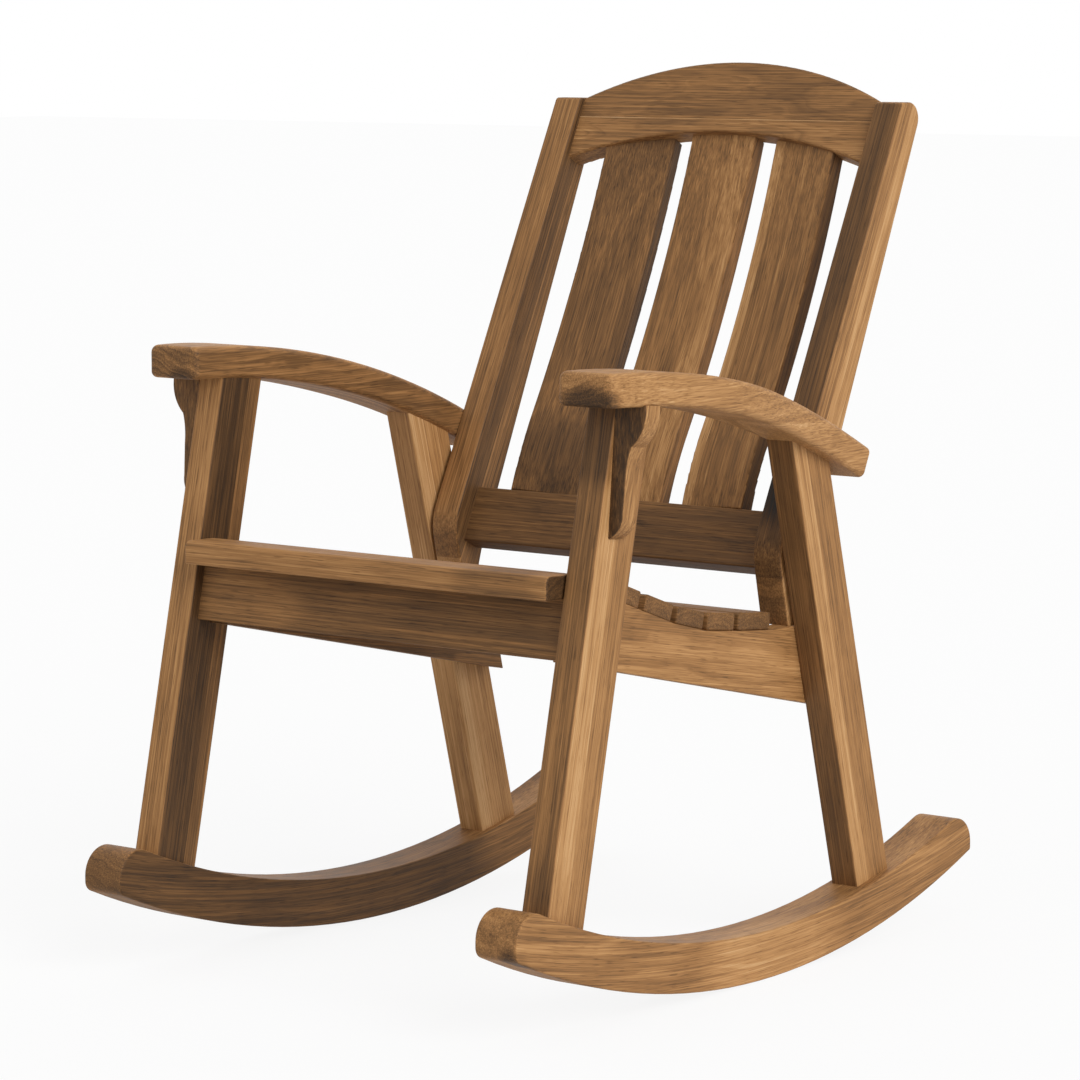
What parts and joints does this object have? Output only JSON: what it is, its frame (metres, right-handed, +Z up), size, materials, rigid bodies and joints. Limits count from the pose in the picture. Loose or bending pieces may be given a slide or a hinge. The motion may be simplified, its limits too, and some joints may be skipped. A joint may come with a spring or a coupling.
{
  "type": "rocking adirondack chair",
  "caption": "All-wood porch rocking chair with a slatted scooped seat, a leaning back with upright slats under an arched crest rail, curved armrests and curved rockers.",
  "frame": {"origin": "on the ground under the middle of the chair: bottom centre of its box", "axes": "+X across to the sitter's left, -Y is the front, +Z up"},
  "size_m": [0.698, 0.91, 1.0393],
  "materials": {
    "frame_wood": "satin oiled",
    "rocker_wood": "satin oiled",
    "arm_wood": "satin oiled",
    "seat_wood": "satin oiled",
    "back_wood": "satin oiled",
    "dowel_wood": "bare",
    "bolt_steel": "zinc plated",
    "insert_brass": "plain"
  },
  "bodies": {
    "root": {"apron_dowels": "dowel_wood", "arm_dowels": "dowel_wood", "back_rail_dowels": "dowel_wood", "bolt_washers": "bolt_steel", "bracket_dowels": "dowel_wood", "centre_back_slat": "back_wood", "crest_rail": "back_wood", "cross_rail_dowels": "dowel_wood", "frame_bolts": "bolt_steel", "front_apron": "frame_wood", "front_seat_slat": "seat_wood", "left_arm_bracket": "arm_wood", "left_armrest": "arm_wood", "left_back_post": "frame_wood", "left_back_slat": "back_wood", "left_front_leg": "frame_wood", "left_rear_leg": "frame_wood", "left_rocker": "rocker_wood", "left_seat_rail": "frame_wood", "lower_back_rail": "back_wood", "post_dowels": "dowel_wood", "post_foot_dowels": "dowel_wood", "rear_cross_rail": "frame_wood", "right_arm_bracket": "arm_wood", "right_armrest": "arm_wood", "right_back_post": "frame_wood", "right_back_slat": "back_wood", "right_front_leg": "frame_wood", "right_rear_leg": "frame_wood", "right_rocker": "rocker_wood", "right_seat_rail": "frame_wood", "rocker_dowels": "dowel_wood", "seat_slat_2": "seat_wood", "seat_slat_3": "seat_wood", "seat_slat_4": "seat_wood", "seat_slat_5": "seat_wood", "seat_slat_6": "seat_wood", "seat_slat_7": "seat_wood", "slat_dowels": "dowel_wood", "threaded_inserts": "insert_brass"}
  },
  "joints": []
}
